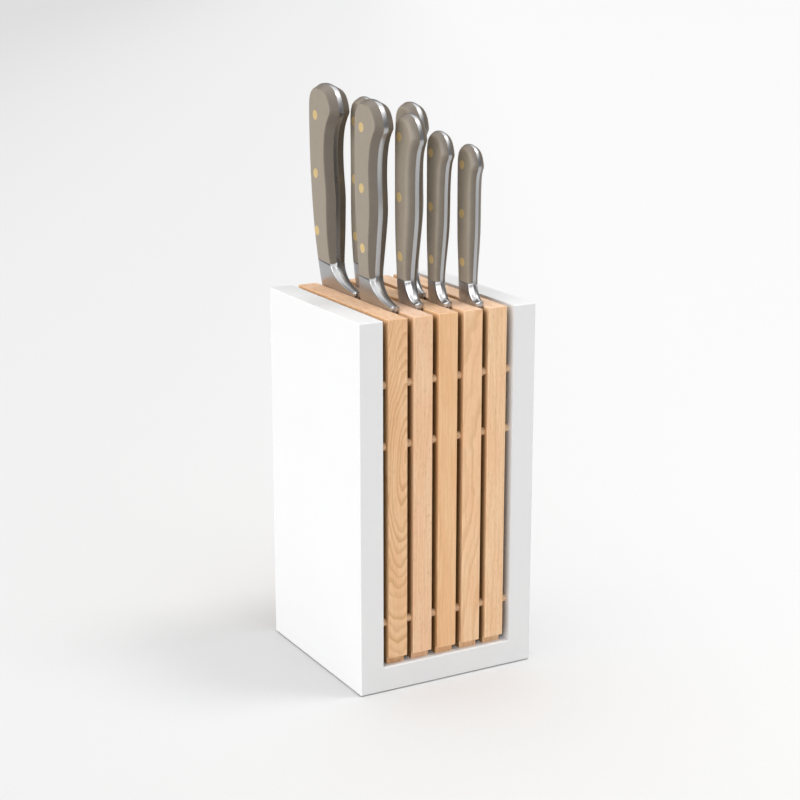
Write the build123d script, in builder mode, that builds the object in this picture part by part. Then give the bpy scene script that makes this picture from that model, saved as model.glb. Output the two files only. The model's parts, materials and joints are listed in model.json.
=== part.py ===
from build123d import *
from dataclasses import dataclass
import os

# Knife block with seven knives, in millimetres. +Z is up and the front of the block faces -Y.
# The origin is at the bottom centre, on the surface that the block stands on.

# ---- Housing: two side panels and a base panel, standing on rubber pads let into the side panels ----
BLOCK_HEIGHT = 240.0
BLOCK_WIDTH = 125.0
BLOCK_DEPTH = 125.0
PANEL_THICKNESS = 16.0
EDGE_RADIUS = 0.6
FOOT_HEIGHT = 0.5
FOOT_RECESS = 1.5
FOOT_DIAMETER = 12.0
FOOT_INSET = 9.0

HOUSING_HEIGHT = BLOCK_HEIGHT - FOOT_HEIGHT
BASE_TOP = FOOT_HEIGHT + PANEL_THICKNESS
INNER_WIDTH = BLOCK_WIDTH - 2 * PANEL_THICKNESS

# ---- Slats: five upright boards with a knife slot between each pair ----
SLAT_COUNT = 5
SLOT_WIDTH = 4.4
SLAT_WIDTH = (INNER_WIDTH - (SLAT_COUNT + 1) * SLOT_WIDTH) / SLAT_COUNT
SLAT_PITCH = SLAT_WIDTH + SLOT_WIDTH
SLAT_RECESS = 1.0
SLAT_DEPTH = BLOCK_DEPTH - 2 * SLAT_RECESS
SLAT_EDGE_RADIUS = 0.5
REBATE_HEIGHT = 4.8
REBATE_DEPTH = 3.8

# ---- Cross dowels: three at the front and three at the back, through every slat ----
CROSS_DOWEL_DIAMETER = 5.0
CROSS_DOWEL_INSET = 6.5
CROSS_DOWEL_HEIGHTS = (44.3, 159.7, 198.6)
CROSS_DOWEL_SOCKET = 8.0

# ---- Joint dowels: glued pegs that hold each side panel on the end of the base ----
JOINT_DOWEL_DIAMETER = 8.0
JOINT_DOWEL_IN_PANEL = 10.0
JOINT_DOWEL_IN_BASE = 20.0
JOINT_DOWEL_SPACING = 42.0
JOINT_DOWEL_COUNT = 3

# ---- Handles: heights as shares of the handle's own height above the block ----
BOLSTER_SHARE = 0.135
FLANK_TOP_SHARE = 0.45
BELLY_SHARE = 0.50
HOLLOW_SHARE = 0.75
BEAK_SHARE = 0.86
BUTT_TURN_SHARE = 0.88
BUTT_TOP_SHARE = 0.49
RIVETS_PER_HANDLE = 3

# ---- Bolsters: the neck and the scoop as shares of the bolster's height and reach ----
SEAT_GAP = 0.2
NECK_RISE = 1.25
NECK_THICKNESS_SHARE = 0.74
BOLSTER_FOOT_THICKNESS = 5.2
SCOOP_REACH_SHARE = 0.22
SCOOP_HEIGHT_SHARE = 0.58
HEEL_RISE = 3.4

# The sideways slope of each curve where it starts or ends, against one step of height
SEAT_SLOPE = 0.05
BEAK_SLOPE = 0.2
FLANK_FOOT_SLOPE = 0.25
TIP_SLOPE = 0.3

# The falling slope of each curve where it ends, against one step of reach
HOLLOW_SLOPE = 0.8
HEEL_SLOPE = 0.12
EDGE_TIP_SLOPE = 0.75

# The bevel round each side of a grip, as a share of that side's thickness
BEVEL_SHARE = 0.52

# How far a bevel draws parts of the outline in, as shares of its inset
SEAT_DRAW = 0.4
BEAK_DRAW = 1.6
SCOOP_DRAW = 0.7
HEEL_DRAW = 1.3
LEDGE_DRAW = 0.5

# ---- Blades: shares of the blade's own length and depth ----
BLADE_ROOT = 3.0
HEEL_DEPTH = 2.0
SPINE_TURN_SHARE = 0.45
EDGE_TURN_SHARE = 0.55
GRIND_START_SHARE = 0.3
EDGE_THICKNESS = 0.4
TIP_THICKNESS = 0.9
SERRATION_COUNT = 18
SERRATION_PITCH = 8.0
SERRATION_RADIUS = 5.0
SERRATION_DEPTH = 1.2


@dataclass
class Knife:
    """One knife. Reaches run from the handle's spine line towards the front of the block, and heights run up
    from the top of the slats."""

    name: str
    slot: int
    spine_y: float
    height: float
    beak: float
    hollow: float
    belly: float
    neck: float
    spine_middle: float
    neck_drop: float
    seat_drop: float
    heel: float
    thickness: float
    tang: float
    rivet_diameter: float
    rivet_reach: float
    rivet_low: float
    rivet_pitch: float
    blade_length: float
    blade_thickness: float
    edge_sweep: float
    tip_reach: float
    serrated: bool = False


KNIVES = (
    Knife(
        name="chefs_knife", slot=1, spine_y=62.4, height=131.0, thickness=14.9, tang=3.2,
        beak=35.6, hollow=27.0, belly=28.2, neck=28.6, heel=56.0,
        spine_middle=2.2, neck_drop=7.5, seat_drop=9.4,
        rivet_diameter=6.6, rivet_reach=12.0, rivet_low=36.9, rivet_pitch=37.2,
        blade_length=200.0, blade_thickness=2.8, edge_sweep=3.0, tip_reach=15.0,
    ),
    Knife(
        name="cooks_knife", slot=1, spine_y=0.4, height=126.5, thickness=13.7, tang=3.2,
        beak=32.0, hollow=24.2, belly=24.0, neck=19.6, heel=43.2,
        spine_middle=0.0, neck_drop=2.2, seat_drop=1.0,
        rivet_diameter=6.4, rivet_reach=11.6, rivet_low=35.0, rivet_pitch=37.4,
        blade_length=175.0, blade_thickness=2.6, edge_sweep=3.0, tip_reach=9.0,
    ),
    Knife(
        name="bread_knife", slot=2, spine_y=41.1, height=123.5, thickness=13.0, tang=2.8,
        beak=25.0, hollow=19.0, belly=19.4, neck=16.0, heel=28.0,
        spine_middle=0.0, neck_drop=0.5, seat_drop=2.0,
        rivet_diameter=6.4, rivet_reach=8.3, rivet_low=34.1, rivet_pitch=37.0,
        blade_length=200.0, blade_thickness=2.2, edge_sweep=1.0, tip_reach=8.0, serrated=True,
    ),
    Knife(
        name="carving_knife", slot=3, spine_y=14.4, height=121.7, thickness=12.6, tang=2.7,
        beak=29.0, hollow=22.2, belly=21.6, neck=17.0, heel=29.0,
        spine_middle=0.6, neck_drop=1.6, seat_drop=2.4,
        rivet_diameter=6.4, rivet_reach=9.4, rivet_low=33.0, rivet_pitch=36.5,
        blade_length=180.0, blade_thickness=2.2, edge_sweep=1.0, tip_reach=6.0,
    ),
    Knife(
        name="boning_knife", slot=2, spine_y=-16.4, height=118.5, thickness=12.2, tang=2.7,
        beak=27.4, hollow=22.0, belly=21.2, neck=15.8, heel=25.9,
        spine_middle=0.0, neck_drop=0.8, seat_drop=1.4,
        rivet_diameter=6.4, rivet_reach=9.2, rivet_low=30.5, rivet_pitch=36.9,
        blade_length=150.0, blade_thickness=2.0, edge_sweep=4.0, tip_reach=6.0,
    ),
    Knife(
        name="utility_knife", slot=3, spine_y=-23.6, height=107.5, thickness=9.8, tang=2.3,
        beak=24.0, hollow=19.5, belly=18.4, neck=14.0, heel=23.3,
        spine_middle=0.0, neck_drop=0.4, seat_drop=1.0,
        rivet_diameter=6.0, rivet_reach=8.0, rivet_low=27.9, rivet_pitch=33.1,
        blade_length=120.0, blade_thickness=1.8, edge_sweep=4.0, tip_reach=5.0,
    ),
    Knife(
        name="paring_knife", slot=4, spine_y=-30.6, height=99.0, thickness=9.4, tang=2.2,
        beak=22.6, hollow=19.3, belly=19.0, neck=16.9, heel=25.2,
        spine_middle=0.2, neck_drop=1.2, seat_drop=1.8,
        rivet_diameter=6.0, rivet_reach=8.3, rivet_low=25.8, rivet_pitch=30.4,
        blade_length=90.0, blade_thickness=1.8, edge_sweep=4.0, tip_reach=6.0,
    ),
)


def slat_x(number):
    """The middle of a slat across the block, counted from 1 on the left."""
    return (number - (SLAT_COUNT + 1) / 2) * SLAT_PITCH


def slot_x(number):
    """The middle of the knife slot to the right of the slat with the same number."""
    return slat_x(number) + SLAT_PITCH / 2


def cross_dowel_centres(row_y):
    return [(row_y, height) for height in CROSS_DOWEL_HEIGHTS]


def joint_dowel_centres():
    middle = (JOINT_DOWEL_COUNT - 1) / 2
    mid_height = FOOT_HEIGHT + PANEL_THICKNESS / 2
    return [((i - middle) * JOINT_DOWEL_SPACING, mid_height) for i in range(JOINT_DOWEL_COUNT)]


def foot_centres(side):
    x = side * (BLOCK_WIDTH / 2 - FOOT_INSET)
    y = BLOCK_DEPTH / 2 - FOOT_INSET
    return [(x, -y), (x, y)]


def save(builder, name):
    builder.part.label = name
    export_step(builder.part, f"parts/{name}.step")


os.makedirs("parts", exist_ok=True)

FRONT_ROW_Y = -BLOCK_DEPTH / 2 + CROSS_DOWEL_INSET
REAR_ROW_Y = -FRONT_ROW_Y
PANEL_INNER_X = INNER_WIDTH / 2


# ---- Side panels ----
def make_side_panel(side):
    """A side panel, bored for the dowels on its inner face and for the pads underneath. Its inner edges stay
    square, so that no groove shows where it meets the base. Side is -1 on the left and 1 on the right."""
    with BuildPart() as panel:
        with BuildSketch(Plane.XY.offset(FOOT_HEIGHT)):
            with Locations((side * (PANEL_INNER_X + PANEL_THICKNESS / 2), 0)):
                Rectangle(PANEL_THICKNESS, BLOCK_DEPTH)
        extrude(amount=HOUSING_HEIGHT)
        square_edges = panel.faces().sort_by(Axis.X)[0 if side > 0 else -1].edges()
        rounded_edges = [edge for edge in panel.edges() if edge not in square_edges]
        fillet(rounded_edges, radius=EDGE_RADIUS)
        inner_face = Plane.YZ.offset(side * PANEL_INNER_X)
        with BuildSketch(inner_face):
            for row_y in (FRONT_ROW_Y, REAR_ROW_Y):
                with Locations(*cross_dowel_centres(row_y)):
                    Circle(CROSS_DOWEL_DIAMETER / 2)
        extrude(amount=side * CROSS_DOWEL_SOCKET, mode=Mode.SUBTRACT)
        with BuildSketch(inner_face):
            with Locations(*joint_dowel_centres()):
                Circle(JOINT_DOWEL_DIAMETER / 2)
        extrude(amount=side * JOINT_DOWEL_IN_PANEL, mode=Mode.SUBTRACT)
        with BuildSketch(Plane.XY.offset(FOOT_HEIGHT)):
            with Locations(*foot_centres(side)):
                Circle(FOOT_DIAMETER / 2)
        extrude(amount=FOOT_RECESS, mode=Mode.SUBTRACT)
    return panel


save(make_side_panel(-1), "left_panel")
save(make_side_panel(1), "right_panel")

# ---- Base panel, fitted between the side panels ----
with BuildPart() as base_panel:
    with BuildSketch(Plane.XY.offset(FOOT_HEIGHT)):
        Rectangle(INNER_WIDTH, BLOCK_DEPTH)
    extrude(amount=PANEL_THICKNESS)
    long_edges = base_panel.edges().filter_by(Axis.X)
    fillet(long_edges, radius=EDGE_RADIUS)
    for side in (-1, 1):
        with BuildSketch(Plane.YZ.offset(side * PANEL_INNER_X)):
            with Locations(*joint_dowel_centres()):
                Circle(JOINT_DOWEL_DIAMETER / 2)
        extrude(amount=-side * JOINT_DOWEL_IN_BASE, mode=Mode.SUBTRACT)
save(base_panel, "base_panel")


# ---- Joint dowels between the base and each side panel ----
def make_joint_dowels(side):
    with BuildPart() as dowels:
        with BuildSketch(Plane.YZ.offset(side * (PANEL_INNER_X - JOINT_DOWEL_IN_BASE))):
            with Locations(*joint_dowel_centres()):
                Circle(JOINT_DOWEL_DIAMETER / 2)
        extrude(amount=side * (JOINT_DOWEL_IN_BASE + JOINT_DOWEL_IN_PANEL))
    return dowels


save(make_joint_dowels(-1), "left_joint_dowels")
save(make_joint_dowels(1), "right_joint_dowels")

# ---- Rubber pads under the corners ----
with BuildPart() as rubber_feet:
    with BuildSketch(Plane.XY):
        with Locations(*foot_centres(-1), *foot_centres(1)):
            Circle(FOOT_DIAMETER / 2)
    extrude(amount=FOOT_HEIGHT + FOOT_RECESS)
save(rubber_feet, "rubber_feet")


# ---- Slats ----
def make_slat(number):
    """An upright board with a narrower foot, which leaves a shadow gap over the base at both ends."""
    with BuildPart() as slat:
        with BuildSketch(Plane.XY.offset(BASE_TOP + REBATE_HEIGHT)):
            with Locations((slat_x(number), 0)):
                Rectangle(SLAT_WIDTH, SLAT_DEPTH)
        extrude(amount=BLOCK_HEIGHT - BASE_TOP - REBATE_HEIGHT)
        fillet(slat.edges(), radius=SLAT_EDGE_RADIUS)
        with BuildSketch(Plane.XY.offset(BASE_TOP)):
            with Locations((slat_x(number), 0)):
                Rectangle(SLAT_WIDTH - 2 * SLAT_EDGE_RADIUS, SLAT_DEPTH - 2 * REBATE_DEPTH)
        extrude(amount=REBATE_HEIGHT + SLAT_EDGE_RADIUS)
        with BuildSketch(Plane.YZ.offset(slat_x(number))):
            for row_y in (FRONT_ROW_Y, REAR_ROW_Y):
                with Locations(*cross_dowel_centres(row_y)):
                    Circle(CROSS_DOWEL_DIAMETER / 2)
        extrude(amount=SLAT_WIDTH, both=True, mode=Mode.SUBTRACT)
    return slat


for slat_number in range(1, SLAT_COUNT + 1):
    save(make_slat(slat_number), f"slat_{slat_number}")


# ---- Cross dowels ----
def make_cross_dowels(row_y):
    with BuildPart() as dowels:
        with BuildSketch(Plane.YZ):
            with Locations(*cross_dowel_centres(row_y)):
                Circle(CROSS_DOWEL_DIAMETER / 2)
        extrude(amount=PANEL_INNER_X + CROSS_DOWEL_SOCKET, both=True)
    return dowels


save(make_cross_dowels(FRONT_ROW_Y), "front_dowels")
save(make_cross_dowels(REAR_ROW_Y), "rear_dowels")


# ---- Knives ----
def at(knife, reach, height):
    """A point of the knife's side view as (y, z), from its reach and its height over the slats."""
    return (knife.spine_y - reach, BLOCK_HEIGHT + height)


def bolster_top(knife):
    return BOLSTER_SHARE * knife.height


def handle_outline(knife, inset):
    """The side view of the handle and bolster: from the seat up the spine, over the butt, round the beak and
    down the belly to the heel. The inset draws it inwards, for the narrower outer face."""
    top = bolster_top(knife)
    scoop_reach = knife.neck + SCOOP_REACH_SHARE * (knife.heel - knife.neck)
    seat = at(knife, knife.seat_drop + SEAT_DRAW * inset, SEAT_GAP)
    spine_neck = at(knife, knife.neck_drop + inset, NECK_RISE * top)
    spine_middle = at(knife, knife.spine_middle + inset, BELLY_SHARE * knife.height)
    spine_turn = at(knife, inset, BUTT_TURN_SHARE * knife.height)
    butt_top = at(knife, BUTT_TOP_SHARE * knife.beak, knife.height - inset)
    beak_tip = at(knife, knife.beak - BEAK_DRAW * inset, BEAK_SHARE * knife.height)
    hollow = at(knife, knife.hollow - inset, HOLLOW_SHARE * knife.height)
    belly = at(knife, knife.belly - inset, BELLY_SHARE * knife.height)
    neck = at(knife, knife.neck - inset, NECK_RISE * top)
    scoop = at(knife, scoop_reach - SCOOP_DRAW * inset, SCOOP_HEIGHT_SHARE * top - LEDGE_DRAW * inset)
    heel_top = at(knife, knife.heel - HEEL_DRAW * inset, HEEL_RISE - LEDGE_DRAW * inset)
    heel_foot = at(knife, knife.heel - HEEL_DRAW * inset, SEAT_GAP)
    taper = ((neck[0] - belly[0]) / (belly[1] - neck[1]), -1)
    with BuildLine() as outline:
        Spline(seat, spine_neck, spine_middle, spine_turn, tangents=((SEAT_SLOPE, 1), (0, 1)))
        Spline(spine_turn, butt_top, beak_tip, tangents=((0, 1), (-BEAK_SLOPE, -1)))
        Spline(beak_tip, hollow, belly, neck, tangents=((1, -HOLLOW_SLOPE), taper))
        Spline(neck, scoop, heel_top, tangents=(taper, (-1, -HEEL_SLOPE)))
        Line(heel_top, heel_foot)
        Line(heel_foot, seat)
    return outline.line


def thin_flanks(knife):
    """Cuts the piece that is being built to the handle's front view. The flanks are flat from the butt to the
    belly, and then run in to the neck and on down to the seat."""
    x = slot_x(knife.slot)
    half = knife.thickness / 2
    foot = (x + BOLSTER_FOOT_THICKNESS / 2, BLOCK_HEIGHT + SEAT_GAP)
    neck = (x + NECK_THICKNESS_SHARE * half, BLOCK_HEIGHT + bolster_top(knife))
    belly = (x + half, BLOCK_HEIGHT + FLANK_TOP_SHARE * knife.height)
    above_butt = (x + half, BLOCK_HEIGHT + knife.height + half)
    with BuildSketch(Plane.XZ) as flanks:
        with BuildLine():
            Spline(foot, neck, belly, tangents=((FLANK_FOOT_SLOPE, 1), (0, 1)))
            Polyline(belly, above_butt, (x, above_butt[1]), (x, foot[1]), foot)
        make_face()
        mirror(about=Plane.YZ.offset(x))
    extrude(flanks.sketch, amount=BLOCK_DEPTH, both=True, mode=Mode.INTERSECT)


def make_handle_side(knife):
    """The right half of the grip outside the tang: a scale, and half of the bolster below it.
    Bevels run all round it, and its flank thins towards the bolster and flares in to the seat."""
    x = slot_x(knife.slot)
    tang_face = x + knife.tang / 2
    outer_face = x + knife.thickness / 2
    inset = BEVEL_SHARE * (outer_face - tang_face)
    with BuildPart() as side:
        for plane_x, plane_inset in ((tang_face, 0), (outer_face, inset)):
            with BuildSketch(Plane.YZ.offset(plane_x)):
                with BuildLine():
                    add(handle_outline(knife, plane_inset))
                make_face()
        loft(ruled=True)
        thin_flanks(knife)
    return side


def rivet_centres(knife):
    heights = [knife.rivet_low + i * knife.rivet_pitch for i in range(RIVETS_PER_HANDLE)]
    return [at(knife, knife.rivet_reach, height) for height in heights]


def drill_rivet_holes(knife):
    """Cuts the rivet holes through the piece that is being built."""
    with BuildSketch(Plane.YZ.offset(slot_x(knife.slot))) as holes:
        with Locations(*rivet_centres(knife)):
            Circle(knife.rivet_diameter / 2)
    extrude(holes.sketch, amount=knife.thickness, both=True, mode=Mode.SUBTRACT)


def make_scale(knife, handle_side):
    """The right scale: what lies above the bolster of the right half of the grip."""
    with BuildPart() as scale:
        add(handle_side.part)
        split(bisect_by=Plane.XY.offset(BLOCK_HEIGHT + bolster_top(knife)), keep=Keep.TOP)
        drill_rivet_holes(knife)
    return scale


def mirrored(knife, builder):
    """The same piece on the other side of the slot's middle plane."""
    with BuildPart() as copy:
        mirror(builder.part, about=Plane.YZ.offset(slot_x(knife.slot)))
    return copy


def make_rivets(knife):
    """Three brass pins, flush with both scales."""
    with BuildPart() as rivets:
        with BuildSketch(Plane.YZ.offset(slot_x(knife.slot))):
            with Locations(*rivet_centres(knife)):
                Circle(knife.rivet_diameter / 2)
        extrude(amount=knife.thickness / 2, both=True)
        thin_flanks(knife)
    return rivets


def make_blade(knife):
    """The blade below the seat. It is ground thinner towards the edge and towards the tip."""
    x = slot_x(knife.slot)
    half = knife.blade_thickness / 2
    root_spine = at(knife, knife.seat_drop, BLADE_ROOT)
    root_heel = at(knife, knife.heel, BLADE_ROOT)
    tip = at(knife, knife.tip_reach, -knife.blade_length)
    spine_turn = at(knife, knife.seat_drop, -SPINE_TURN_SHARE * knife.blade_length)
    heel_foot = at(knife, knife.heel, -HEEL_DEPTH)
    belly = at(knife, knife.heel - knife.edge_sweep, -EDGE_TURN_SHARE * knife.blade_length)
    with BuildPart() as blade:
        with BuildSketch(Plane.YZ.offset(x)):
            with BuildLine():
                Line(root_spine, spine_turn)
                Spline(spine_turn, tip, tangents=((0, -1), (-TIP_SLOPE, -1)))
                Spline(tip, belly, heel_foot, tangents=((-1, EDGE_TIP_SLOPE), (0, 1)))
                Polyline(heel_foot, root_heel, root_spine)
            make_face()
        extrude(amount=half, both=True)
        grind_start = root_spine[0] - GRIND_START_SHARE * (root_spine[0] - root_heel[0])
        with BuildSketch(Plane.XY.offset(BLOCK_HEIGHT + BLADE_ROOT)):
            Polygon(
                (x - half, root_spine[0]),
                (x - half, grind_start),
                (x - EDGE_THICKNESS / 2, root_heel[0]),
                (x + EDGE_THICKNESS / 2, root_heel[0]),
                (x + half, grind_start),
                (x + half, root_spine[0]),
                align=None,
            )
        extrude(amount=-knife.blade_length - BLADE_ROOT, mode=Mode.INTERSECT)
        with BuildSketch(Plane.XZ):
            Polygon(
                (x - half, root_spine[1]),
                (x - TIP_THICKNESS / 2, tip[1]),
                (x + TIP_THICKNESS / 2, tip[1]),
                (x + half, root_spine[1]),
                align=None,
            )
        extrude(amount=BLOCK_DEPTH, both=True, mode=Mode.INTERSECT)
        if knife.serrated:
            with BuildSketch(Plane.YZ.offset(x)):
                for i in range(SERRATION_COUNT):
                    notch_z = heel_foot[1] - (i + 1) * SERRATION_PITCH
                    with Locations((heel_foot[0] - SERRATION_RADIUS + SERRATION_DEPTH, notch_z)):
                        Circle(SERRATION_RADIUS)
            extrude(amount=knife.blade_thickness, both=True, mode=Mode.SUBTRACT)
    return blade


def make_forging(knife, handle_side, blade):
    """The steel of a knife in one piece: the tang between the scales, the bolster and the blade."""
    with BuildPart() as forging:
        with BuildSketch(Plane.YZ.offset(slot_x(knife.slot))):
            with BuildLine():
                add(handle_outline(knife, 0))
            make_face()
        extrude(amount=knife.tang / 2, both=True)
        bolster_half = split(
            handle_side.part,
            bisect_by=Plane.XY.offset(BLOCK_HEIGHT + bolster_top(knife)),
            keep=Keep.BOTTOM,
            mode=Mode.PRIVATE,
        )
        add(bolster_half)
        mirror(bolster_half, about=Plane.YZ.offset(slot_x(knife.slot)))
        add(blade.part)
        drill_rivet_holes(knife)
    return forging


for knife in KNIVES:
    handle_side = make_handle_side(knife)
    right_scale = make_scale(knife, handle_side)
    save(make_forging(knife, handle_side, make_blade(knife)), f"{knife.name}_blade")
    save(mirrored(knife, right_scale), f"{knife.name}_left_scale")
    save(right_scale, f"{knife.name}_right_scale")
    save(make_rivets(knife), f"{knife.name}_rivets")
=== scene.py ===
import bisect
import bmesh
import bpy
import json
import math
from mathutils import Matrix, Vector
from mathutils.bvhtree import BVHTree

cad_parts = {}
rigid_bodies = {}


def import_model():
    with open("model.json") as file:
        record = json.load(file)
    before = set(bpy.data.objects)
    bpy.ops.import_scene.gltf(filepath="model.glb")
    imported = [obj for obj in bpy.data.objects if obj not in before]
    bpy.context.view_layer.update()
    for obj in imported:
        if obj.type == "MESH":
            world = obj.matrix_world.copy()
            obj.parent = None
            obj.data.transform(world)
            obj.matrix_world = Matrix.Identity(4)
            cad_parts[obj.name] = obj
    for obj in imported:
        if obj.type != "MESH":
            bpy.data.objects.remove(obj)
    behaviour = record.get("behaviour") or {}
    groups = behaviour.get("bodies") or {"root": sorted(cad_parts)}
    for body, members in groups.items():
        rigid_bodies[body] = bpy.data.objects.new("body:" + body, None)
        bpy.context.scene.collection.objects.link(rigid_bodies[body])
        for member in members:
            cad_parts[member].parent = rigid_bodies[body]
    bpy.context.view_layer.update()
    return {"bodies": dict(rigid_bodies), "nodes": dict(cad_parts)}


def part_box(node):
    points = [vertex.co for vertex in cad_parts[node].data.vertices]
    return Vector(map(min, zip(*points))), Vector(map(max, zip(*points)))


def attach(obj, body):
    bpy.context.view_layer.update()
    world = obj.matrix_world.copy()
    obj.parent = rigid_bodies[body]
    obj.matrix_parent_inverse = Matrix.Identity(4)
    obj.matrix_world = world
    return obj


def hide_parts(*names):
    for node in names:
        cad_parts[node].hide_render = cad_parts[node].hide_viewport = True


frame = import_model()

# Everything is in metres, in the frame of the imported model: +Z is up and the front of the block faces -Y.
MM = 0.001
BLOCK_BODY = "block"
KNIFE_BODIES = [name for name in frame["bodies"] if name != BLOCK_BODY]
NODES = frame["nodes"]


# ---- Small helpers for building node trees ----
def new_material(name):
    """A material with its node tree and its Principled shader."""
    material = bpy.data.materials.new(name)
    material.use_nodes = True
    tree = material.node_tree
    return material, tree, tree.nodes["Principled BSDF"]


def feed(tree, socket, value):
    """Links another node's output to the socket, or sets the socket to a plain value."""
    if isinstance(value, bpy.types.NodeSocket):
        tree.links.new(value, socket)
    else:
        socket.default_value = value


def add_node(tree, kind, inputs=None, **settings):
    """A node with the given settings, and a value or a link for each of the given inputs."""
    node = tree.nodes.new(kind)
    for key, value in settings.items():
        setattr(node, key, value)
    for key, value in (inputs or {}).items():
        feed(tree, node.inputs[key], value)
    return node


def millimetres(tree, squeeze=(1, 1, 1)):
    """The point on the piece in millimetres. A squeeze below 1 draws a pattern out along that axis."""
    place = add_node(tree, "ShaderNodeTexCoord").outputs["Object"]
    scale = [share / MM for share in squeeze]
    return add_node(tree, "ShaderNodeMapping", {"Vector": place, "Scale": scale}).outputs["Vector"]


def noise(tree, vector, size, detail=2.0, roughness=0.5, output="Fac"):
    """Noise from 0 to 1, with features of about the given size in the units of the vector."""
    node = add_node(
        tree,
        "ShaderNodeTexNoise",
        {"Vector": vector, "Scale": 1 / size, "Detail": detail, "Roughness": roughness},
    )
    return node.outputs[output]


def math_node(tree, operation, a, b=0.0):
    return add_node(tree, "ShaderNodeMath", {0: a, 1: b}, operation=operation).outputs["Value"]


def vector_math(tree, operation, a, b):
    return add_node(tree, "ShaderNodeVectorMath", {0: a, 1: b}, operation=operation).outputs["Vector"]


def separate(tree, vector):
    """The vector's X, Y and Z, by name."""
    return add_node(tree, "ShaderNodeSeparateXYZ", {"Vector": vector}).outputs


def surface_facing(tree):
    """The surface's normal, by its X, Y and Z."""
    return separate(tree, add_node(tree, "ShaderNodeNewGeometry").outputs["Normal"])


def ramp(tree, factor, low, high, start=0.0, end=1.0):
    """Maps the factor smoothly from start..end to low..high, held at both ends."""
    node = add_node(
        tree,
        "ShaderNodeMapRange",
        {"Value": factor, "From Min": start, "From Max": end, "To Min": low, "To Max": high},
        interpolation_type="SMOOTHSTEP",
    )
    return node.outputs["Result"]


def mix_colour(tree, factor, a, b):
    """Colour a at factor 0 and b at factor 1. The mix node has sockets for every type of data, told apart
    by number: 6, 7 and 2 are its colours, and 2, 3 and 0 its plain values."""
    node = add_node(tree, "ShaderNodeMix", {0: factor, 6: a, 7: b}, data_type="RGBA")
    return node.outputs[2]


def mix_value(tree, factor, a, b):
    node = add_node(tree, "ShaderNodeMix", {0: factor, 2: a, 3: b}, data_type="FLOAT")
    return node.outputs[0]


def bump(tree, height, depth_mm):
    """A bump whose full height is depth_mm."""
    node = add_node(tree, "ShaderNodeBump", {"Height": height, "Distance": depth_mm * MM, "Strength": 1.0})
    return node.outputs["Normal"]


# ---- Materials ----
SLAT_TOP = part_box("slat_1")[1].z / MM
SLAT_HALF_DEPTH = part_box("slat_1")[1].y / MM
MID_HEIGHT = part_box("left_panel")[1].z / (2 * MM)

# The shades of the wood, as shares of the board's own tone
PINKISH = (0.98, 0.90, 0.86)
FIBRE = (0.80, 0.70, 0.58)
LATE_WOOD = (0.70, 0.58, 0.44)
PORE = (0.58, 0.45, 0.34)
END_GRAIN = (0.88, 0.95, 1.18)
# Painted shade: the dark brown painted on the slot walls, deeper in the slots
SLOT_SHADE_TONE = (0.25, 0.135, 0.035, 1)

# A year ring darkens over this stretch of its width, and then ends quickly.
LATE_WOOD_START = 0.25
LATE_WOOD_END = 0.88
RIPPLE_SHARE = 0.9


def white_lacquer():
    """Satin white lacquer: faint spray texture, a few brushed streaks and slightly rubbed patches."""
    material, tree, shader = new_material("white_lacquer")
    point = millimetres(tree)
    streak_point = millimetres(tree, squeeze=(1, 1, 0.12))
    patches = noise(tree, point, size=60, detail=3)
    streaks = noise(tree, streak_point, size=1.6, detail=3)
    spray = noise(tree, point, size=0.9, detail=2)
    tone = mix_colour(tree, patches, (0.76, 0.76, 0.765, 1), (0.785, 0.785, 0.785, 1))
    feed(tree, shader.inputs["Base Color"], tone)
    feed(tree, shader.inputs["Roughness"], ramp(tree, streaks, 0.34, 0.5))
    feed(tree, shader.inputs["Normal"], bump(tree, spray, 0.02))
    shader.inputs["Specular IOR Level"].default_value = 0.4
    return material


def shaded(tone, shade):
    return [part * share for part, share in zip(tone, shade)] + [1]


def warped_point(tree, point, warp):
    """The point moved by up to half the warp each way, in slow waves drawn out along the height."""
    slow = millimetres(tree, squeeze=(1, 1, 0.25))
    wander = noise(tree, slow, size=22, output="Color")
    centred = vector_math(tree, "SUBTRACT", wander, (0.5, 0.5, 0.5))
    moved = vector_math(tree, "MULTIPLY", centred, (warp, warp, warp))
    return vector_math(tree, "ADD", point, moved)


def pith_distance(tree, point, pith, tilt):
    """The level distance from the pith, a line that leans by the tilt, in mm per mm of height."""
    axes = separate(tree, point)
    height = math_node(tree, "SUBTRACT", axes["Z"], MID_HEIGHT)
    squares = []
    for axis, start, lean in zip("XY", pith, tilt):
        centre = math_node(tree, "ADD", math_node(tree, "MULTIPLY", height, lean), start)
        offset = math_node(tree, "SUBTRACT", axes[axis], centre)
        squares.append(math_node(tree, "MULTIPLY", offset, offset))
    return math_node(tree, "SQRT", math_node(tree, "ADD", *squares))


def year_rings(tree, radius, ring_width):
    """From 0 in the early wood to at most 1 in the late wood, with some years fainter than others."""
    ripple = noise(tree, millimetres(tree, squeeze=(1, 1, 0.8)), size=9, detail=2)
    ripple_width = math_node(tree, "MULTIPLY", ripple, RIPPLE_SHARE * ring_width)
    rings = math_node(tree, "DIVIDE", math_node(tree, "ADD", radius, ripple_width), ring_width)
    phase = math_node(tree, "FRACT", rings)
    darkening = ramp(tree, phase, 0.0, 1.0, start=LATE_WOOD_START, end=LATE_WOOD_END)
    ending = ramp(tree, phase, 1.0, 0.0, start=LATE_WOOD_END, end=1.0)
    line = math_node(tree, "MULTIPLY", darkening, ending)
    number = math_node(tree, "FLOOR", rings)
    year = add_node(tree, "ShaderNodeTexWhiteNoise", {"W": number}, noise_dimensions="1D").outputs["Value"]
    return math_node(tree, "MULTIPLY", line, ramp(tree, year, 0.2, 1.0))


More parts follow.
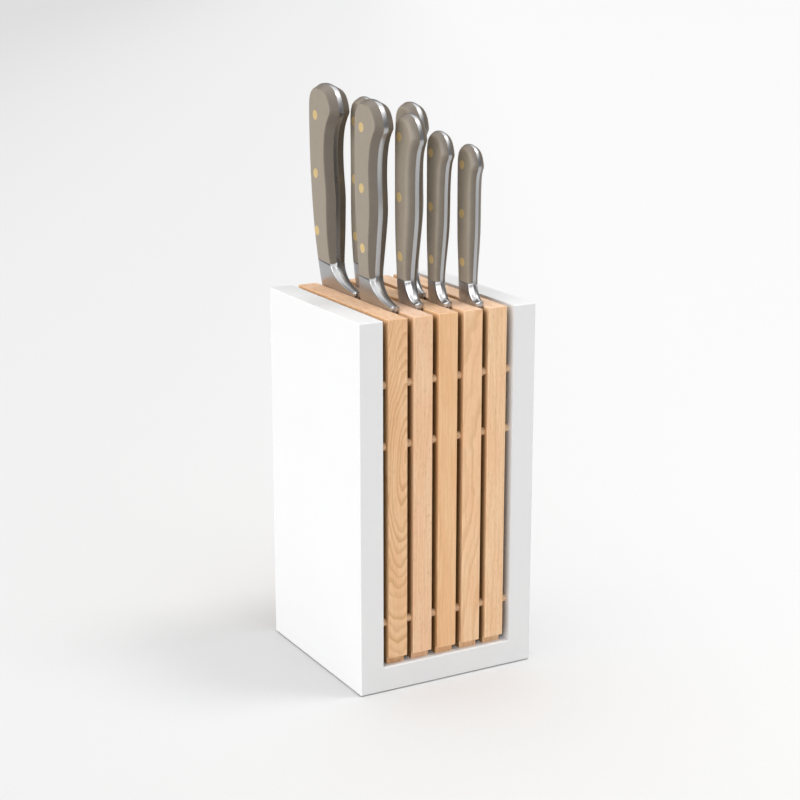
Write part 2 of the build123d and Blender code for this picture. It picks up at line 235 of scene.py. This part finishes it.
def slot_painted_shade(tree, point, facing):
    """How much painted shade the slot walls get: none on the front and top, and more and more deeper into
    the slots.
    """
    on_side = ramp(tree, math_node(tree, "ABSOLUTE", facing["X"]), 0.0, 0.85, start=0.5, end=0.85)
    place = separate(tree, point)
    from_ends = math_node(tree, "SUBTRACT", SLAT_HALF_DEPTH, math_node(tree, "ABSOLUTE", place["Y"]))
    from_top = math_node(tree, "SUBTRACT", SLAT_TOP, place["Z"])
    depth = math_node(tree, "MINIMUM", from_ends, from_top)
    return math_node(tree, "MULTIPLY", on_side, ramp(tree, depth, 0.0, 1.0, start=0.3, end=5.5))


def end_grain(tree, tone):
    """The sawn ends of the fibres: a plain light ground with short dark streaks."""
    streaks = noise(tree, millimetres(tree, squeeze=(1, 0.15, 1)), size=1.3, detail=4, roughness=0.75)
    pores = ramp(tree, streaks, 0.0, 0.75, start=0.42, end=0.66)
    return mix_colour(tree, pores, shaded(tone, END_GRAIN), shaded(tone, PORE))


def beech(name, pith, tilt, ring_width, warp, tone, contrast, flecking):
    """Oiled beech, as one solid texture that runs through the board. The year rings lie round the pith
    line, which passes through the pith point (x, y) at the block's mid height. The top is open end grain,
    and the sides inside the slots carry painted shade, darker deeper into the slots."""
    material, tree, shader = new_material(name)
    point = millimetres(tree)
    facing = surface_facing(tree)
    radius = pith_distance(tree, warped_point(tree, point, warp), pith, tilt)
    rings = year_rings(tree, radius, ring_width)
    clouds = noise(tree, millimetres(tree, squeeze=(1, 1, 0.2)), size=9, detail=3)
    fibres = noise(tree, millimetres(tree, squeeze=(1, 1, 0.018)), size=0.55, detail=4, roughness=0.68)
    flecks = noise(tree, millimetres(tree, squeeze=(1, 1, 0.08)), size=0.38, detail=1)
    fleck = ramp(tree, flecks, 0.0, 1.0, start=0.60, end=0.70)

    cloud_share = ramp(tree, clouds, 0.0, 1.0, start=0.35, end=0.65)
    ground = mix_colour(tree, cloud_share, [*tone, 1], shaded(tone, PINKISH))
    fibre_share = math_node(tree, "MULTIPLY", ramp(tree, fibres, 1.0, 0.0, start=0.32, end=0.62), 0.55)
    fibred = mix_colour(tree, fibre_share, ground, shaded(tone, FIBRE))
    ring_share = math_node(tree, "MULTIPLY", rings, contrast)
    ringed = mix_colour(tree, ring_share, fibred, shaded(tone, LATE_WOOD))
    fleck_share = math_node(tree, "MULTIPLY", fleck, flecking)
    flecked = mix_colour(tree, fleck_share, ringed, shaded(tone, PORE))
    on_end = ramp(tree, math_node(tree, "ABSOLUTE", facing["Z"]), 0.0, 0.6, start=0.6, end=0.9)
    ended = mix_colour(tree, on_end, flecked, end_grain(tree, tone))
    # Painted shade: the slot walls are painted darker towards this brown, deeper in the slots
    slot_shaded = mix_colour(tree, slot_painted_shade(tree, point, facing), ended, SLOT_SHADE_TONE)

    relief = math_node(tree, "SUBTRACT", fibres, math_node(tree, "MULTIPLY", fleck, 0.8))
    feed(tree, shader.inputs["Base Color"], slot_shaded)
    feed(tree, shader.inputs["Roughness"], ramp(tree, fibres, 0.48, 0.66))
    feed(tree, shader.inputs["Normal"], bump(tree, relief, 0.05))
    shader.inputs["Specular IOR Level"].default_value = 0.35
    return material


def dowel_wood():
    """Turned beech pegs: the fibres run across the block, along the pegs."""
    material, tree, shader = new_material("dowel_wood")
    fibres = noise(tree, millimetres(tree, squeeze=(0.05, 1, 1)), size=0.3, detail=3)
    fibre_share = ramp(tree, fibres, 0.0, 1.0, start=0.3, end=0.7)
    tone = mix_colour(tree, fibre_share, (0.86, 0.63, 0.41, 1), (0.70, 0.47, 0.28, 1))
    feed(tree, shader.inputs["Base Color"], tone)
    feed(tree, shader.inputs["Roughness"], ramp(tree, fibres, 0.5, 0.65))
    feed(tree, shader.inputs["Normal"], bump(tree, fibres, 0.03))
    return material


def taupe_scale():
    """Moulded handle composite in warm taupe, with painted light and shade: the flat sides are painted
    paler and the bevels darker, by the way the surface faces. The flat sides are also rougher than the
    bevels."""
    material, tree, shader = new_material("taupe_scale")
    point = millimetres(tree)
    mottle = noise(tree, point, size=7, detail=4, roughness=0.6)
    scratches = noise(tree, millimetres(tree, squeeze=(1, 1, 0.06)), size=0.22, detail=3)
    specks = noise(tree, point, size=0.45, detail=2)
    sideways = math_node(tree, "ABSOLUTE", surface_facing(tree)["X"])
    # Painted light and shade: this mask is 1 on the flat sides, which are painted paler, and 0 on the
    # bevels, which are painted darker. It also makes the flat sides rougher.
    sanded = ramp(tree, sideways, 0.0, 1.0, start=0.45, end=0.97)
    # The first tone is painted shade for the bevels, and the second is painted light for the flat sides.
    skin = mix_colour(tree, mottle, (0.130, 0.107, 0.083, 1), (0.160, 0.134, 0.105, 1))
    flat_painted_light = mix_colour(tree, mottle, (0.258, 0.218, 0.170, 1), (0.305, 0.262, 0.206, 1))
    tone = mix_colour(tree, sanded, skin, flat_painted_light)
    scratch_share = ramp(tree, scratches, 0.0, 0.22, start=0.5, end=0.75)
    streaked = mix_colour(tree, scratch_share, tone, (0.13, 0.11, 0.085, 1))
    speck_share = ramp(tree, specks, 0.0, 0.18, start=0.58, end=0.72)
    specked = mix_colour(tree, speck_share, streaked, (0.5, 0.46, 0.4, 1))
    rubbed = ramp(tree, mottle, 0.0, 0.08)
    roughness = math_node(tree, "ADD", rubbed, ramp(tree, sanded, 0.27, 0.42))
    feed(tree, shader.inputs["Base Color"], specked)
    feed(tree, shader.inputs["Roughness"], roughness)
    feed(tree, shader.inputs["Normal"], bump(tree, scratches, 0.008))
    shader.inputs["Specular IOR Level"].default_value = 0.5
    return material


def brass():
    """Brass rivet heads, sanded flush with the scales along the handle."""
    material, tree, shader = new_material("brass_rivet")
    lines = noise(tree, millimetres(tree, squeeze=(1, 1, 0.06)), size=0.12, detail=2)
    patina = noise(tree, millimetres(tree), size=2.2, detail=3)
    tone = mix_colour(tree, patina, (0.72, 0.54, 0.25, 1), (0.65, 0.47, 0.21, 1))
    feed(tree, shader.inputs["Base Color"], tone)
    feed(tree, shader.inputs["Roughness"], ramp(tree, lines, 0.38, 0.52))
    feed(tree, shader.inputs["Normal"], bump(tree, lines, 0.006))
    shader.inputs["Metallic"].default_value = 0.45
    return material


def knife_steel():
    """Forged stainless steel: a polished bolster and tang, and a blade with fine grinding lines."""
    material, tree, shader = new_material("knife_steel")
    height = separate(tree, millimetres(tree))["Z"]
    in_blade = ramp(tree, height, 1.0, 0.0, start=SLAT_TOP - 1.0, end=SLAT_TOP + 1.0)
    grinding = noise(tree, millimetres(tree, squeeze=(1, 0.04, 1)), size=0.10, detail=2)
    polish = noise(tree, millimetres(tree, squeeze=(1, 1, 0.08)), size=0.18, detail=2)
    smudges = noise(tree, millimetres(tree), size=9, detail=3)
    roughness = mix_value(tree, in_blade, ramp(tree, smudges, 0.24, 0.36), ramp(tree, grinding, 0.26, 0.4))
    lines = mix_value(tree, in_blade, polish, grinding)
    tone = mix_colour(tree, smudges, (0.42, 0.422, 0.43, 1), (0.50, 0.50, 0.503, 1))
    feed(tree, shader.inputs["Base Color"], tone)
    feed(tree, shader.inputs["Roughness"], roughness)
    feed(tree, shader.inputs["Normal"], bump(tree, lines, 0.004))
    shader.inputs["Metallic"].default_value = 1.0
    return material


def rubber():
    """Soft grey rubber with a fine pebble."""
    material, tree, shader = new_material("rubber_pad")
    pebble = noise(tree, millimetres(tree), size=0.5, detail=2)
    tone = mix_colour(tree, pebble, (0.06, 0.06, 0.06, 1), (0.10, 0.10, 0.10, 1))
    feed(tree, shader.inputs["Base Color"], tone)
    feed(tree, shader.inputs["Roughness"], ramp(tree, pebble, 0.65, 0.85))
    feed(tree, shader.inputs["Normal"], bump(tree, pebble, 0.08))
    return material


# The level direction to the right, as seen from the viewing side. The painted light and shade on the paper
# change along it, and along the direction away from the viewer.
PAPER_AXIS = (0.87, -0.48)


def floor_paper():
    """The plain pale sheet that the block stands on, with painted light and shade: a little greyer on the
    left and near the viewer, and a little lighter on the right.
    """
    material, tree, shader = new_material("floor_paper")
    tooth = noise(tree, millimetres(tree), size=3, detail=2)
    place = separate(tree, millimetres(tree))
    rightward = math_node(
        tree,
        "ADD",
        math_node(tree, "MULTIPLY", place["X"], PAPER_AXIS[0]),
        math_node(tree, "MULTIPLY", place["Y"], PAPER_AXIS[1]),
    )
    backward = math_node(
        tree,
        "SUBTRACT",
        math_node(tree, "MULTIPLY", place["Y"], PAPER_AXIS[0]),
        math_node(tree, "MULTIPLY", place["X"], PAPER_AXIS[1]),
    )
    # Painted light and shade: the paper is painted darker towards the far left and near the viewer, and
    # lighter towards the right.
    painted_light_across = ramp(tree, rightward, 0.968, 1.06, start=-350, end=350)
    painted_shade_far_left = ramp(tree, rightward, 0.84, 1.0, start=-1700, end=-300)
    painted_shade_near_viewer = ramp(tree, backward, 0.965, 1.0, start=-450, end=-100)
    painted_floor_light = math_node(tree, "MULTIPLY", math_node(tree, "MULTIPLY", painted_light_across, painted_shade_far_left), painted_shade_near_viewer)
    paper = mix_colour(tree, tooth, (0.73, 0.73, 0.73, 1), (0.75, 0.75, 0.75, 1))
    tone = add_node(tree, "ShaderNodeVectorMath", {0: paper, "Scale": painted_floor_light}, operation="SCALE")
    feed(tree, shader.inputs["Base Color"], tone.outputs["Vector"])
    feed(tree, shader.inputs["Roughness"], ramp(tree, tooth, 0.8, 0.9))
    shader.inputs["Specular IOR Level"].default_value = 0.1
    return material


def paint(node, material):
    """Gives a CAD node its finish, in its own material slots."""
    for slot in NODES[node].material_slots:
        slot.material = material


def front_middle(node):
    """The middle of the front face of a CAD node in the plan view, as (x, y) in millimetres."""
    low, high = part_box(node)
    return (low.x + high.x) / (2 * MM), low.y / MM


# ---- Finishes of the block ----
LACQUER = white_lacquer()
for panel in ("left_panel", "right_panel", "base_panel"):
    paint(panel, LACQUER)

# Each board is sawn from another place in the log: its pith lies at an offset from the middle of the
# board's front face, in mm, and leans by the tilt. The rings have their width and warp in mm.
BOARDS = {
    1: {"offset": (3, 7.8), "tilt": (0.07, -0.25), "ring_width": 2.0, "warp": 10},
    2: {"offset": (-58, 30), "tilt": (0.01, 0.0), "ring_width": 1.9, "warp": 5},
    3: {"offset": (70, 25), "tilt": (-0.012, 0.0), "ring_width": 3.2, "warp": 8},
    4: {"offset": (-30, 40), "tilt": (0.12, 0.0), "ring_width": 3.2, "warp": 14},
    5: {"offset": (60, 60), "tilt": (0.006, 0.0), "ring_width": 2.3, "warp": 6},
}
# How each board looks: its own tone, how dark its rings are and how many flecks it shows
BOARD_LOOKS = {
    1: {"tone": (0.86, 0.565, 0.33), "contrast": 0.8, "flecking": 0.35},
    2: {"tone": (0.89, 0.61, 0.395), "contrast": 0.28, "flecking": 0.5},
    3: {"tone": (0.87, 0.565, 0.315), "contrast": 0.36, "flecking": 0.15},
    4: {"tone": (0.90, 0.61, 0.375), "contrast": 0.45, "flecking": 0.2},
    5: {"tone": (0.90, 0.625, 0.39), "contrast": 0.28, "flecking": 0.5},
}
for number, board in BOARDS.items():
    middle_x, front_y = front_middle(f"slat_{number}")
    offset_x, offset_y = board["offset"]
    wood = beech(
        f"beech_{number}",
        pith=(middle_x + offset_x, front_y + offset_y),
        tilt=board["tilt"],
        ring_width=board["ring_width"],
        warp=board["warp"],
        **BOARD_LOOKS[number],
    )
    paint(f"slat_{number}", wood)

DOWEL = dowel_wood()
for dowels in ("front_dowels", "rear_dowels", "left_joint_dowels", "right_joint_dowels"):
    paint(dowels, DOWEL)
paint("rubber_feet", rubber())

# ---- Knives ----
# The grips are made again here with soft edges, over outlines read from the CAD model. An outline is the
# knife's side view at its middle plane, as (y, z) points.

# Corners closer than WELD become one. The section is cut just beside the middle, clear of any CAD edge.
WELD = 0.001 * MM
SECTION_OFFSET = 0.05 * MM

# The CAD bolsters stand SEAT_GAP above the slats. The new ones start a hair above that.
SEAT_GAP = 0.2 * MM
SEAT_MARGIN = 0.01 * MM

# Steps along an outline, and across the flat, the bevel and the bare strip of steel
BOLSTER_ROWS = 18
SCALE_ROWS = 64
FLAT_COLUMNS = 6
BEVEL_STEPS = 3
ROUND_STEPS = 5
STRIP_COLUMNS = 4

# An outline bend of more than CORNER_TURN keeps a point of its own, until the outline is softened.
CORNER_TURN = math.radians(25)
SOFTENING_PASSES = 2

# A bevel's width is a share of the scale's thickness. Its direction is evened out over NORMAL_REACH to
# each side, and is at most SHARPEST_MITRE longer at a corner. It turns level over the last
# LEVELLING_HEIGHT above the seat.
BEVEL_SHARE = 0.52
NORMAL_REACH = 7.0 * MM
SHARPEST_MITRE = 1.25
LEVELLING_HEIGHT = 4.0 * MM

# How hollow the front bevel of the bolster is, where 0 would be flat
SCOOP_HOLLOW = 1.3

# The flank is read up to this share of the grip's height, and stays as thick as that above it.
FLANK_TOP_SHARE = 0.45

STRIP_CROWN = 0.15 * MM
SHARP_ANGLE = math.radians(38)

# A rivet head's profile from its middle to its rim, as (share of the radius, share of the crown)
RIVET_HEAD = [(0.0, 1.0), (0.55, 0.85), (0.88, 0.5), (1.0, -0.3)]
RIVET_CROWN = 0.07 * MM
RIVET_SEGMENTS = 40

# The share of each bevel that is rounded off into the flat side of the grip
EDGE_ROUNDS = {
    "chefs_knife": 0.18,
    "cooks_knife": 0.18,
    "bread_knife": 0.45,
    "carving_knife": 0.6,
    "boning_knife": 0.85,
    "utility_knife": 0.85,
    "paring_knife": 0.85,
}


def welded_mesh(node):
    """A CAD node's mesh as a bmesh with its shared corners joined."""
    mesh = bmesh.new()
    mesh.from_mesh(NODES[node].data)
    bmesh.ops.remove_doubles(mesh, verts=mesh.verts, dist=WELD)
    return mesh


def cut_mesh(mesh, point, normal, **sides):
    """Cuts the mesh by a plane, clears the given sides, and gives the edges along the cut."""
    everything = mesh.verts[:] + mesh.edges[:] + mesh.faces[:]
    cut = bmesh.ops.bisect_plane(mesh, geom=everything, plane_co=point, plane_no=normal, **sides)
    return [item for item in cut["geom_cut"] if isinstance(item, bmesh.types.BMEdge)]


def path_lengths(points):
    """The length of the path up to each of its points."""
    lengths = [0.0]
    for a, b in zip(points, points[1:]):
        lengths.append(lengths[-1] + (b - a).length)
    return lengths


def mid_section(node, x):
    """The longest loop of a CAD node's section at x, as (y, z) points in order round it."""
    mesh = welded_mesh(node)
    unused = set(cut_mesh(mesh, (x, 0, 0), (1, 0, 0), clear_inner=True, clear_outer=True))
    loops = []
    while unused:
        edge = unused.pop()
        chain = [edge.verts[0], edge.verts[1]]
        following = [e for e in chain[-1].link_edges if e in unused]
        while following:
            unused.remove(following[0])
            chain.append(following[0].other_vert(chain[-1]))
            following = [e for e in chain[-1].link_edges if e in unused]
        loops.append([Vector((vertex.co.y, vertex.co.z)) for vertex in chain])
    mesh.free()
    return max(loops, key=lambda points: path_lengths(points)[-1])


def up_the_spine(loop):
    """The same closed loop from its lowest point, going up the back of the knife first."""
    closed = loop[:-1]
    lowest = min(range(len(closed)), key=lambda i: closed[i].y)
    turned = closed[lowest:] + closed[: lowest + 1]
    highest = max(range(len(turned)), key=lambda i: turned[i].y)
    rise = [point.x for point in turned[:highest]]
    fall = [point.x for point in turned[highest:]]
    if sum(rise) / len(rise) < sum(fall) / len(fall):
        turned.reverse()
    return turned


def split_path(path, level, rising):
    """The two parts of a path before and after it first crosses a height."""
    for i, (a, b) in enumerate(zip(path, path[1:])):
        crosses = a.y < level <= b.y if rising else b.y < level <= a.y
        if crosses:
            point = a.lerp(b, (level - a.y) / (b.y - a.y))
            return path[: i + 1] + [point], [point] + path[i + 1 :]
    raise ValueError("the path doesn't cross this height")


def point_at(points, lengths, target):
    """The point of a path at the target length, given the lengths up to each of its points."""
    index = min(max(bisect.bisect_left(lengths, target), 1), len(points) - 1)
    span = lengths[index] - lengths[index - 1]
    share = (target - lengths[index - 1]) / span if span > 0 else 0.0
    return points[index - 1].lerp(points[index], min(max(share, 0.0), 1.0))


def spread(points, steps):
    """The path as even steps, except that the step nearest to a corner moves onto it."""
    lengths = path_lengths(points)
    total = lengths[-1]
    targets = [total * i / steps for i in range(steps + 1)]
    for i in range(1, len(points) - 1):
        before = points[i] - points[i - 1]
        after = points[i + 1] - points[i]
        if before.length > WELD and after.length > WELD and before.angle(after) > CORNER_TURN:
            nearest = min(max(round(lengths[i] / total * steps), 1), steps - 1)
            targets[nearest] = lengths[i]
    return [point_at(points, lengths, target) for target in targets]


def softened(outline):
    """The outline with the corners of its handle rounded off. The bolster's parts stay as they are."""
    bolster_back = outline[:BOLSTER_ROWS]
    handle = outline[BOLSTER_ROWS:-BOLSTER_ROWS]
    bolster_front = outline[-BOLSTER_ROWS:]
    for _ in range(SOFTENING_PASSES):
        middle = [(a + 2 * b + c) / 4 for a, b, c in zip(handle, handle[1:], handle[2:])]
        handle = [handle[0], *middle, handle[-1]]
    return bolster_back + handle + bolster_front


def grip_outline(knife, seat, bolster_top):
    """The grip's outline from the seat up the spine, over the butt, round the beak and down to the heel.
    It has as many points on the way up as on the way down, and BOLSTER_ROWS of them are on each side of
    the bolster."""
    low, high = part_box(f"{knife}_blade")
    loop = mid_section(f"{knife}_blade", (low.x + high.x) / 2 + SECTION_OFFSET)
    path = up_the_spine(loop)
    path = split_path(path, seat, rising=True)[1]
    bolster_back, path = split_path(path, bolster_top, rising=True)
    highest = max(range(len(path)), key=lambda i: path[i].y)
    scale_back, path = path[: highest + 1], path[highest:]
    scale_front, path = split_path(path, bolster_top, rising=False)
    bolster_front = split_path(path, seat, rising=False)[0]
    outline = spread(bolster_back, BOLSTER_ROWS)
    outline += spread(scale_back, SCALE_ROWS)[1:]
    outline += spread(scale_front, SCALE_ROWS)[1:]
    outline += spread(bolster_front, BOLSTER_ROWS)[1:]
    return softened(outline)


def inward_vectors(outline):
    """For each point, the way into the outline. It is evened out over a few millimetres, and longer at
    corners, so that the edges of a bevel keep their distance from the outline. Near the seat it turns
    level, so that the grip ends in a flat face there."""
    lengths = path_lengths(outline)
    pieces = []
    for a, b, start, end in zip(outline, outline[1:], lengths, lengths[1:]):
        along = (b - a).normalized()
        pieces.append(((start + end) / 2, end - start, Vector((-along.y, along.x))))
    seat = outline[0].y
    vectors = []
    for point, place in zip(outline, lengths):
        total = Vector((0.0, 0.0))
        weights = 0.0
        for middle, span, normal in pieces:
            weight = span * max(0.0, 1 - abs(middle - place) / NORMAL_REACH)
            total += normal * weight
            weights += weight
        mean = total / weights
        mitre = min(1 / mean.length, SHARPEST_MITRE)
        vector = mean.normalized() * mitre
        vector.y *= min(1.0, (point.y - seat) / LEVELLING_HEIGHT)
        vectors.append(vector)
    return vectors


def flank_reader(knife, middle, depth, full_level):
    """A function that gives the grip's half thickness at a height, from the CAD model's own flank."""
    points = []
    faces = []
    for part in ("right_scale", "rivets", "blade"):
        mesh = NODES[f"{knife}_{part}"].data
        start = len(points)
        points += [vertex.co for vertex in mesh.vertices]
        faces += [[start + index for index in face.vertices] for face in mesh.polygons]
    tree = BVHTree.FromPolygons(points, faces)
    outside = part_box(f"{knife}_right_scale")[1].x + MM

    def half_thickness(z):
        hit = tree.ray_cast(Vector((outside, depth, min(z, full_level))), Vector((-1, 0, 0)))[0]
        return hit.x - middle

    return half_thickness


def bevel_profile(rounding):
    """Steps across a bevel from the tang to the flat side, as (share of the inset, share of the
    thickness). The last of them follow a curve from the straight part into the flat."""
    straight = 1 - rounding
    steps = [(straight * k / BEVEL_STEPS, straight * k / BEVEL_STEPS) for k in range(BEVEL_STEPS)]
    for k in range(ROUND_STEPS + 1):
        u = k / ROUND_STEPS
        inset = straight * (1 - u) ** 2 + 2 * u * (1 - u) + (1 + rounding) * u**2
        thickness = straight * (1 - u) ** 2 + 2 * u * (1 - u) + u**2
        steps.append((inset, thickness))
    return steps


class Grip:
    """The measures of one knife's grip, and the points on its surface."""

    def __init__(self, knife):
        scale_low, scale_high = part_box(f"{knife}_right_scale")
        steel_low, steel_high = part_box(f"{knife}_blade")
        self.knife = knife
        self.middle = (steel_low.x + steel_high.x) / 2
        self.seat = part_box("slat_1")[1].z + SEAT_GAP + SEAT_MARGIN
        self.tang = scale_low.x - self.middle
        self.inset = BEVEL_SHARE * (scale_high.x - scale_low.x)
        self.full = scale_high.x - self.middle
        self.outline = grip_outline(knife, self.seat, scale_low.z)
        self.inward = inward_vectors(self.outline)
        self.rows = BOLSTER_ROWS + SCALE_ROWS
        self.profile = bevel_profile(EDGE_ROUNDS[knife])
        depth = (self.outline[BOLSTER_ROWS].x + self.outline[-1 - BOLSTER_ROWS].x) / 2
        full_level = self.seat + FLANK_TOP_SHARE * (steel_high.z - self.seat)
        self.half_thickness = flank_reader(knife, self.middle, depth, full_level)

    def rim(self, index):
        """Points from the outline in to the flat side, each with its share of the thickness."""
        start = self.outline[index]
        bevel = self.inset * (self.half_thickness(start.y) - self.tang) / (self.full - self.tang)
        way = self.inward[index]
        return [
            (start + way * (STRIP_CROWN + bevel * inset), thickness) for inset, thickness in self.profile
        ]

    def side(self, sign, first, last, flat_on_tang=False):
        """Rows of points over one side of the grip, from the back to the front of each row. The bolster's
        front bevel is hollow, most of all halfway up. With flat_on_tang, the sheet lies flat on the side
        of the tang."""
        grid = []
        for index in range(first, last + 1):
            back = self.rim(index)
            front = self.rim(len(self.outline) - 1 - index)
            back_edge, front_edge = back[-1][0], front[-1][0]
            steps = [column / FLAT_COLUMNS for column in range(1, FLAT_COLUMNS)]
            across = [(back_edge.lerp(front_edge, step), 1.0) for step in steps]
            hollow = 1 + SCOOP_HOLLOW * math.sin(math.pi * min(1.0, index / BOLSTER_ROWS))
            scooped = [(point, share**hollow) for point, share in front]
            row = []
            for point, share in back + across + scooped[::-1]:
                room = 0.0 if flat_on_tang else self.half_thickness(point.y) - self.tang
                row.append(Vector((self.middle + sign * (self.tang + room * share), point.x, point.y)))
            grid.append(row)
        return grid

    def strip(self):
        """Rows of points across the edge of the steel, which is slightly crowned."""
        grid = []
        for point, way in zip(self.outline, self.inward):
            row = []
            for column in range(STRIP_COLUMNS + 1):
                across = 2 * column / STRIP_COLUMNS - 1
                place = point + way * STRIP_CROWN * across**2
                row.append(Vector((self.middle + across * self.tang, place.x, place.y)))
            grid.append(row)
        return grid


def bridge(mesh, row_a, row_b):
    """Fills between two rows of vertices with faces."""
    for a, b, c, d in zip(row_a, row_a[1:], row_b[1:], row_b):
        mesh.faces.new((a, b, c, d))


def add_sheet(mesh, grid):
    """Adds a grid of points with faces between them, and gives its rows of vertices."""
    rows = [[mesh.verts.new(point) for point in row] for row in grid]
    for row, following in zip(rows, rows[1:]):
        bridge(mesh, row, following)
    return rows


def finish_piece(mesh, name, material, body, node):
    """Makes the bmesh into a smooth-shaded object that stands for a CAD node."""
    bmesh.ops.remove_doubles(mesh, verts=mesh.verts, dist=WELD)
    bmesh.ops.recalc_face_normals(mesh, faces=mesh.faces)
    data = bpy.data.meshes.new(name)
    mesh.to_mesh(data)
    mesh.free()
    data.materials.append(material)
    data.shade_smooth()
    data.set_sharp_from_angle(angle=SHARP_ANGLE)
    piece = bpy.data.objects.new(name, data)
    bpy.context.scene.collection.objects.link(piece)
    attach(piece, body)
    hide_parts(node)


def make_scale(grip, name, sign):
    """One scale: its outer skin, its inner face on the tang, and its end on the bolster."""
    mesh = bmesh.new()
    outer = add_sheet(mesh, grip.side(sign, BOLSTER_ROWS, grip.rows))
    inner = add_sheet(mesh, grip.side(sign, BOLSTER_ROWS, grip.rows, flat_on_tang=True))
    bridge(mesh, outer[0], inner[0])
    node = f"{grip.knife}_{name}_scale"
    finish_piece(mesh, f"{grip.knife}_{name}_grip", TAUPE, grip.knife, node)


def make_steel(grip):
    """The blade as the CAD model has it, with a softened bolster and tang above it."""
    mesh = welded_mesh(f"{grip.knife}_blade")
    below_seat = grip.seat - 2 * SEAT_MARGIN
    cut = cut_mesh(mesh, (0, 0, below_seat), (0, 0, 1), clear_outer=True)
    bmesh.ops.holes_fill(mesh, edges=cut)
    feet = []
    for sign in (-1, 1):
        bolster = add_sheet(mesh, grip.side(sign, 0, BOLSTER_ROWS))
        tang = add_sheet(mesh, grip.side(sign, BOLSTER_ROWS, grip.rows, flat_on_tang=True))
        bridge(mesh, bolster[-1], tang[0])
        feet.append(bolster[0])
    bridge(mesh, feet[0], feet[1])
    add_sheet(mesh, grip.strip())
    finish_piece(mesh, f"{grip.knife}_steel", STEEL, grip.knife, f"{grip.knife}_blade")


def make_rivets(grip):
    """Three pins with barely crowned heads, each sanded to the curve of the flank."""
    low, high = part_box(f"{grip.knife}_rivets")
    radius = (high.y - low.y) / 2
    depth = (low.y + high.y) / 2
    lowest, highest = low.z + radius, high.z - radius
    mesh = bmesh.new()
    for height in (lowest, (lowest + highest) / 2, highest):
        rings = []
        for sign, shares in ((-1, RIVET_HEAD), (1, RIVET_HEAD[::-1])):
            for reach, lift in shares:
                ring = []
                for segment in range(RIVET_SEGMENTS + 1):
                    angle = 2 * math.pi * segment / RIVET_SEGMENTS
                    y = depth + radius * reach * math.cos(angle)
                    z = height + radius * reach * math.sin(angle)
                    x = grip.middle + sign * (grip.half_thickness(z) + RIVET_CROWN * lift)
                    ring.append(Vector((x, y, z)))
                rings.append(ring)
        add_sheet(mesh, rings)
    finish_piece(mesh, f"{grip.knife}_pins", BRASS, grip.knife, f"{grip.knife}_rivets")


STEEL = knife_steel()
TAUPE = taupe_scale()
BRASS = brass()
for knife in KNIFE_BODIES:
    grip = Grip(knife)
    make_scale(grip, "left", -1)
    make_scale(grip, "right", 1)
    make_steel(grip)
    make_rivets(grip)


# ---- Floor, light and camera ----
def make_floor(half_size):
    signs = ((-1, -1), (1, -1), (1, 1), (-1, 1))
    corners = [(x * half_size, y * half_size, 0) for x, y in signs]
    mesh = bpy.data.meshes.new("floor")
    mesh.from_pydata(corners, [], [(0, 1, 2, 3)])
    floor = bpy.data.objects.new("floor", mesh)
    bpy.context.scene.collection.objects.link(floor)
    mesh.materials.append(floor_paper())


def direction(azimuth, elevation):
    """The unit vector from the object towards a camera or light, at azimuth 0 in front, 90 on the right."""
    a = math.radians(azimuth)
    e = math.radians(elevation)
    return Vector((math.sin(a) * math.cos(e), -math.cos(a) * math.cos(e), math.sin(e)))


def sun(name, azimuth, elevation, strength, softness):
    """A distant soft light. Softness is the angle that it fills, in degrees."""
    data = bpy.data.lights.new(name, "SUN")
    data.energy = strength
    data.angle = math.radians(softness)
    light = bpy.data.objects.new(name, data)
    light.rotation_mode = "QUATERNION"
    light.rotation_quaternion = (-direction(azimuth, elevation)).to_track_quat("-Z", "Y")
    bpy.context.scene.collection.objects.link(light)
    return light


def light_only_the_object(light):
    """Keeps a light off the floor, so that it casts no second shadow there."""
    lit = bpy.data.collections.new(f"{light.name}_receivers")
    for item in bpy.context.scene.objects:
        if item.type == "MESH" and item.name != "floor":
            lit.objects.link(item)
    light.light_linking.receiver_collection = lit


def make_world(base, lobes):
    """A dim room with large soft lights. Each lobe is (azimuth, elevation, half width, edge width,
    strength), with its angles in degrees."""
    world = bpy.data.worlds.new("studio")
    world.use_nodes = True
    tree = world.node_tree
    background = tree.nodes["Background"]
    towards = add_node(tree, "ShaderNodeTexCoord").outputs["Generated"]
    total = base
    for azimuth, elevation, half_width, edge, strength in lobes:
        facing = add_node(
            tree,
            "ShaderNodeVectorMath",
            {0: towards, 1: direction(azimuth, elevation)},
            operation="DOT_PRODUCT",
        ).outputs["Value"]
        outside = math.cos(math.radians(half_width + edge))
        inside = math.cos(math.radians(half_width))
        total = math_node(tree, "ADD", total, ramp(tree, facing, 0.0, strength, start=outside, end=inside))
    background.inputs["Color"].default_value = (1, 1, 1, 1)
    feed(tree, background.inputs["Strength"], total)
    bpy.context.scene.world = world


def make_camera(azimuth, elevation, distance, target, lens):
    data = bpy.data.cameras.new("camera")
    data.lens = lens
    data.sensor_width = 36.0
    data.clip_end = 100.0
    camera = bpy.data.objects.new("camera", data)
    back = direction(azimuth, elevation)
    camera.location = target + back * distance
    camera.rotation_mode = "QUATERNION"
    camera.rotation_quaternion = (-back).to_track_quat("-Z", "Y")
    bpy.context.scene.collection.objects.link(camera)
    bpy.context.scene.camera = camera


# The two lights from the left are kept off the floor. The one from the right casts the shadow there. The
# camera's angle and distance come from a fit to the housing's corners.
LOOK_AT = Vector((0.0, 0.0, 0.1705))
make_floor(half_size=30.0)
make_world(base=0.23, lobes=[(0, 90, 38, 24, 1.34)])
light_only_the_object(sun("left", azimuth=-90, elevation=18, strength=1.27, softness=40))
light_only_the_object(sun("front_left", azimuth=-52, elevation=20, strength=0.85, softness=30))
sun("top_right", azimuth=63, elevation=65, strength=0.74, softness=18)
make_camera(azimuth=-29.04, elevation=15.14, distance=1.193, target=LOOK_AT, lens=82.8)
bpy.context.scene.view_settings.view_transform = "Standard"
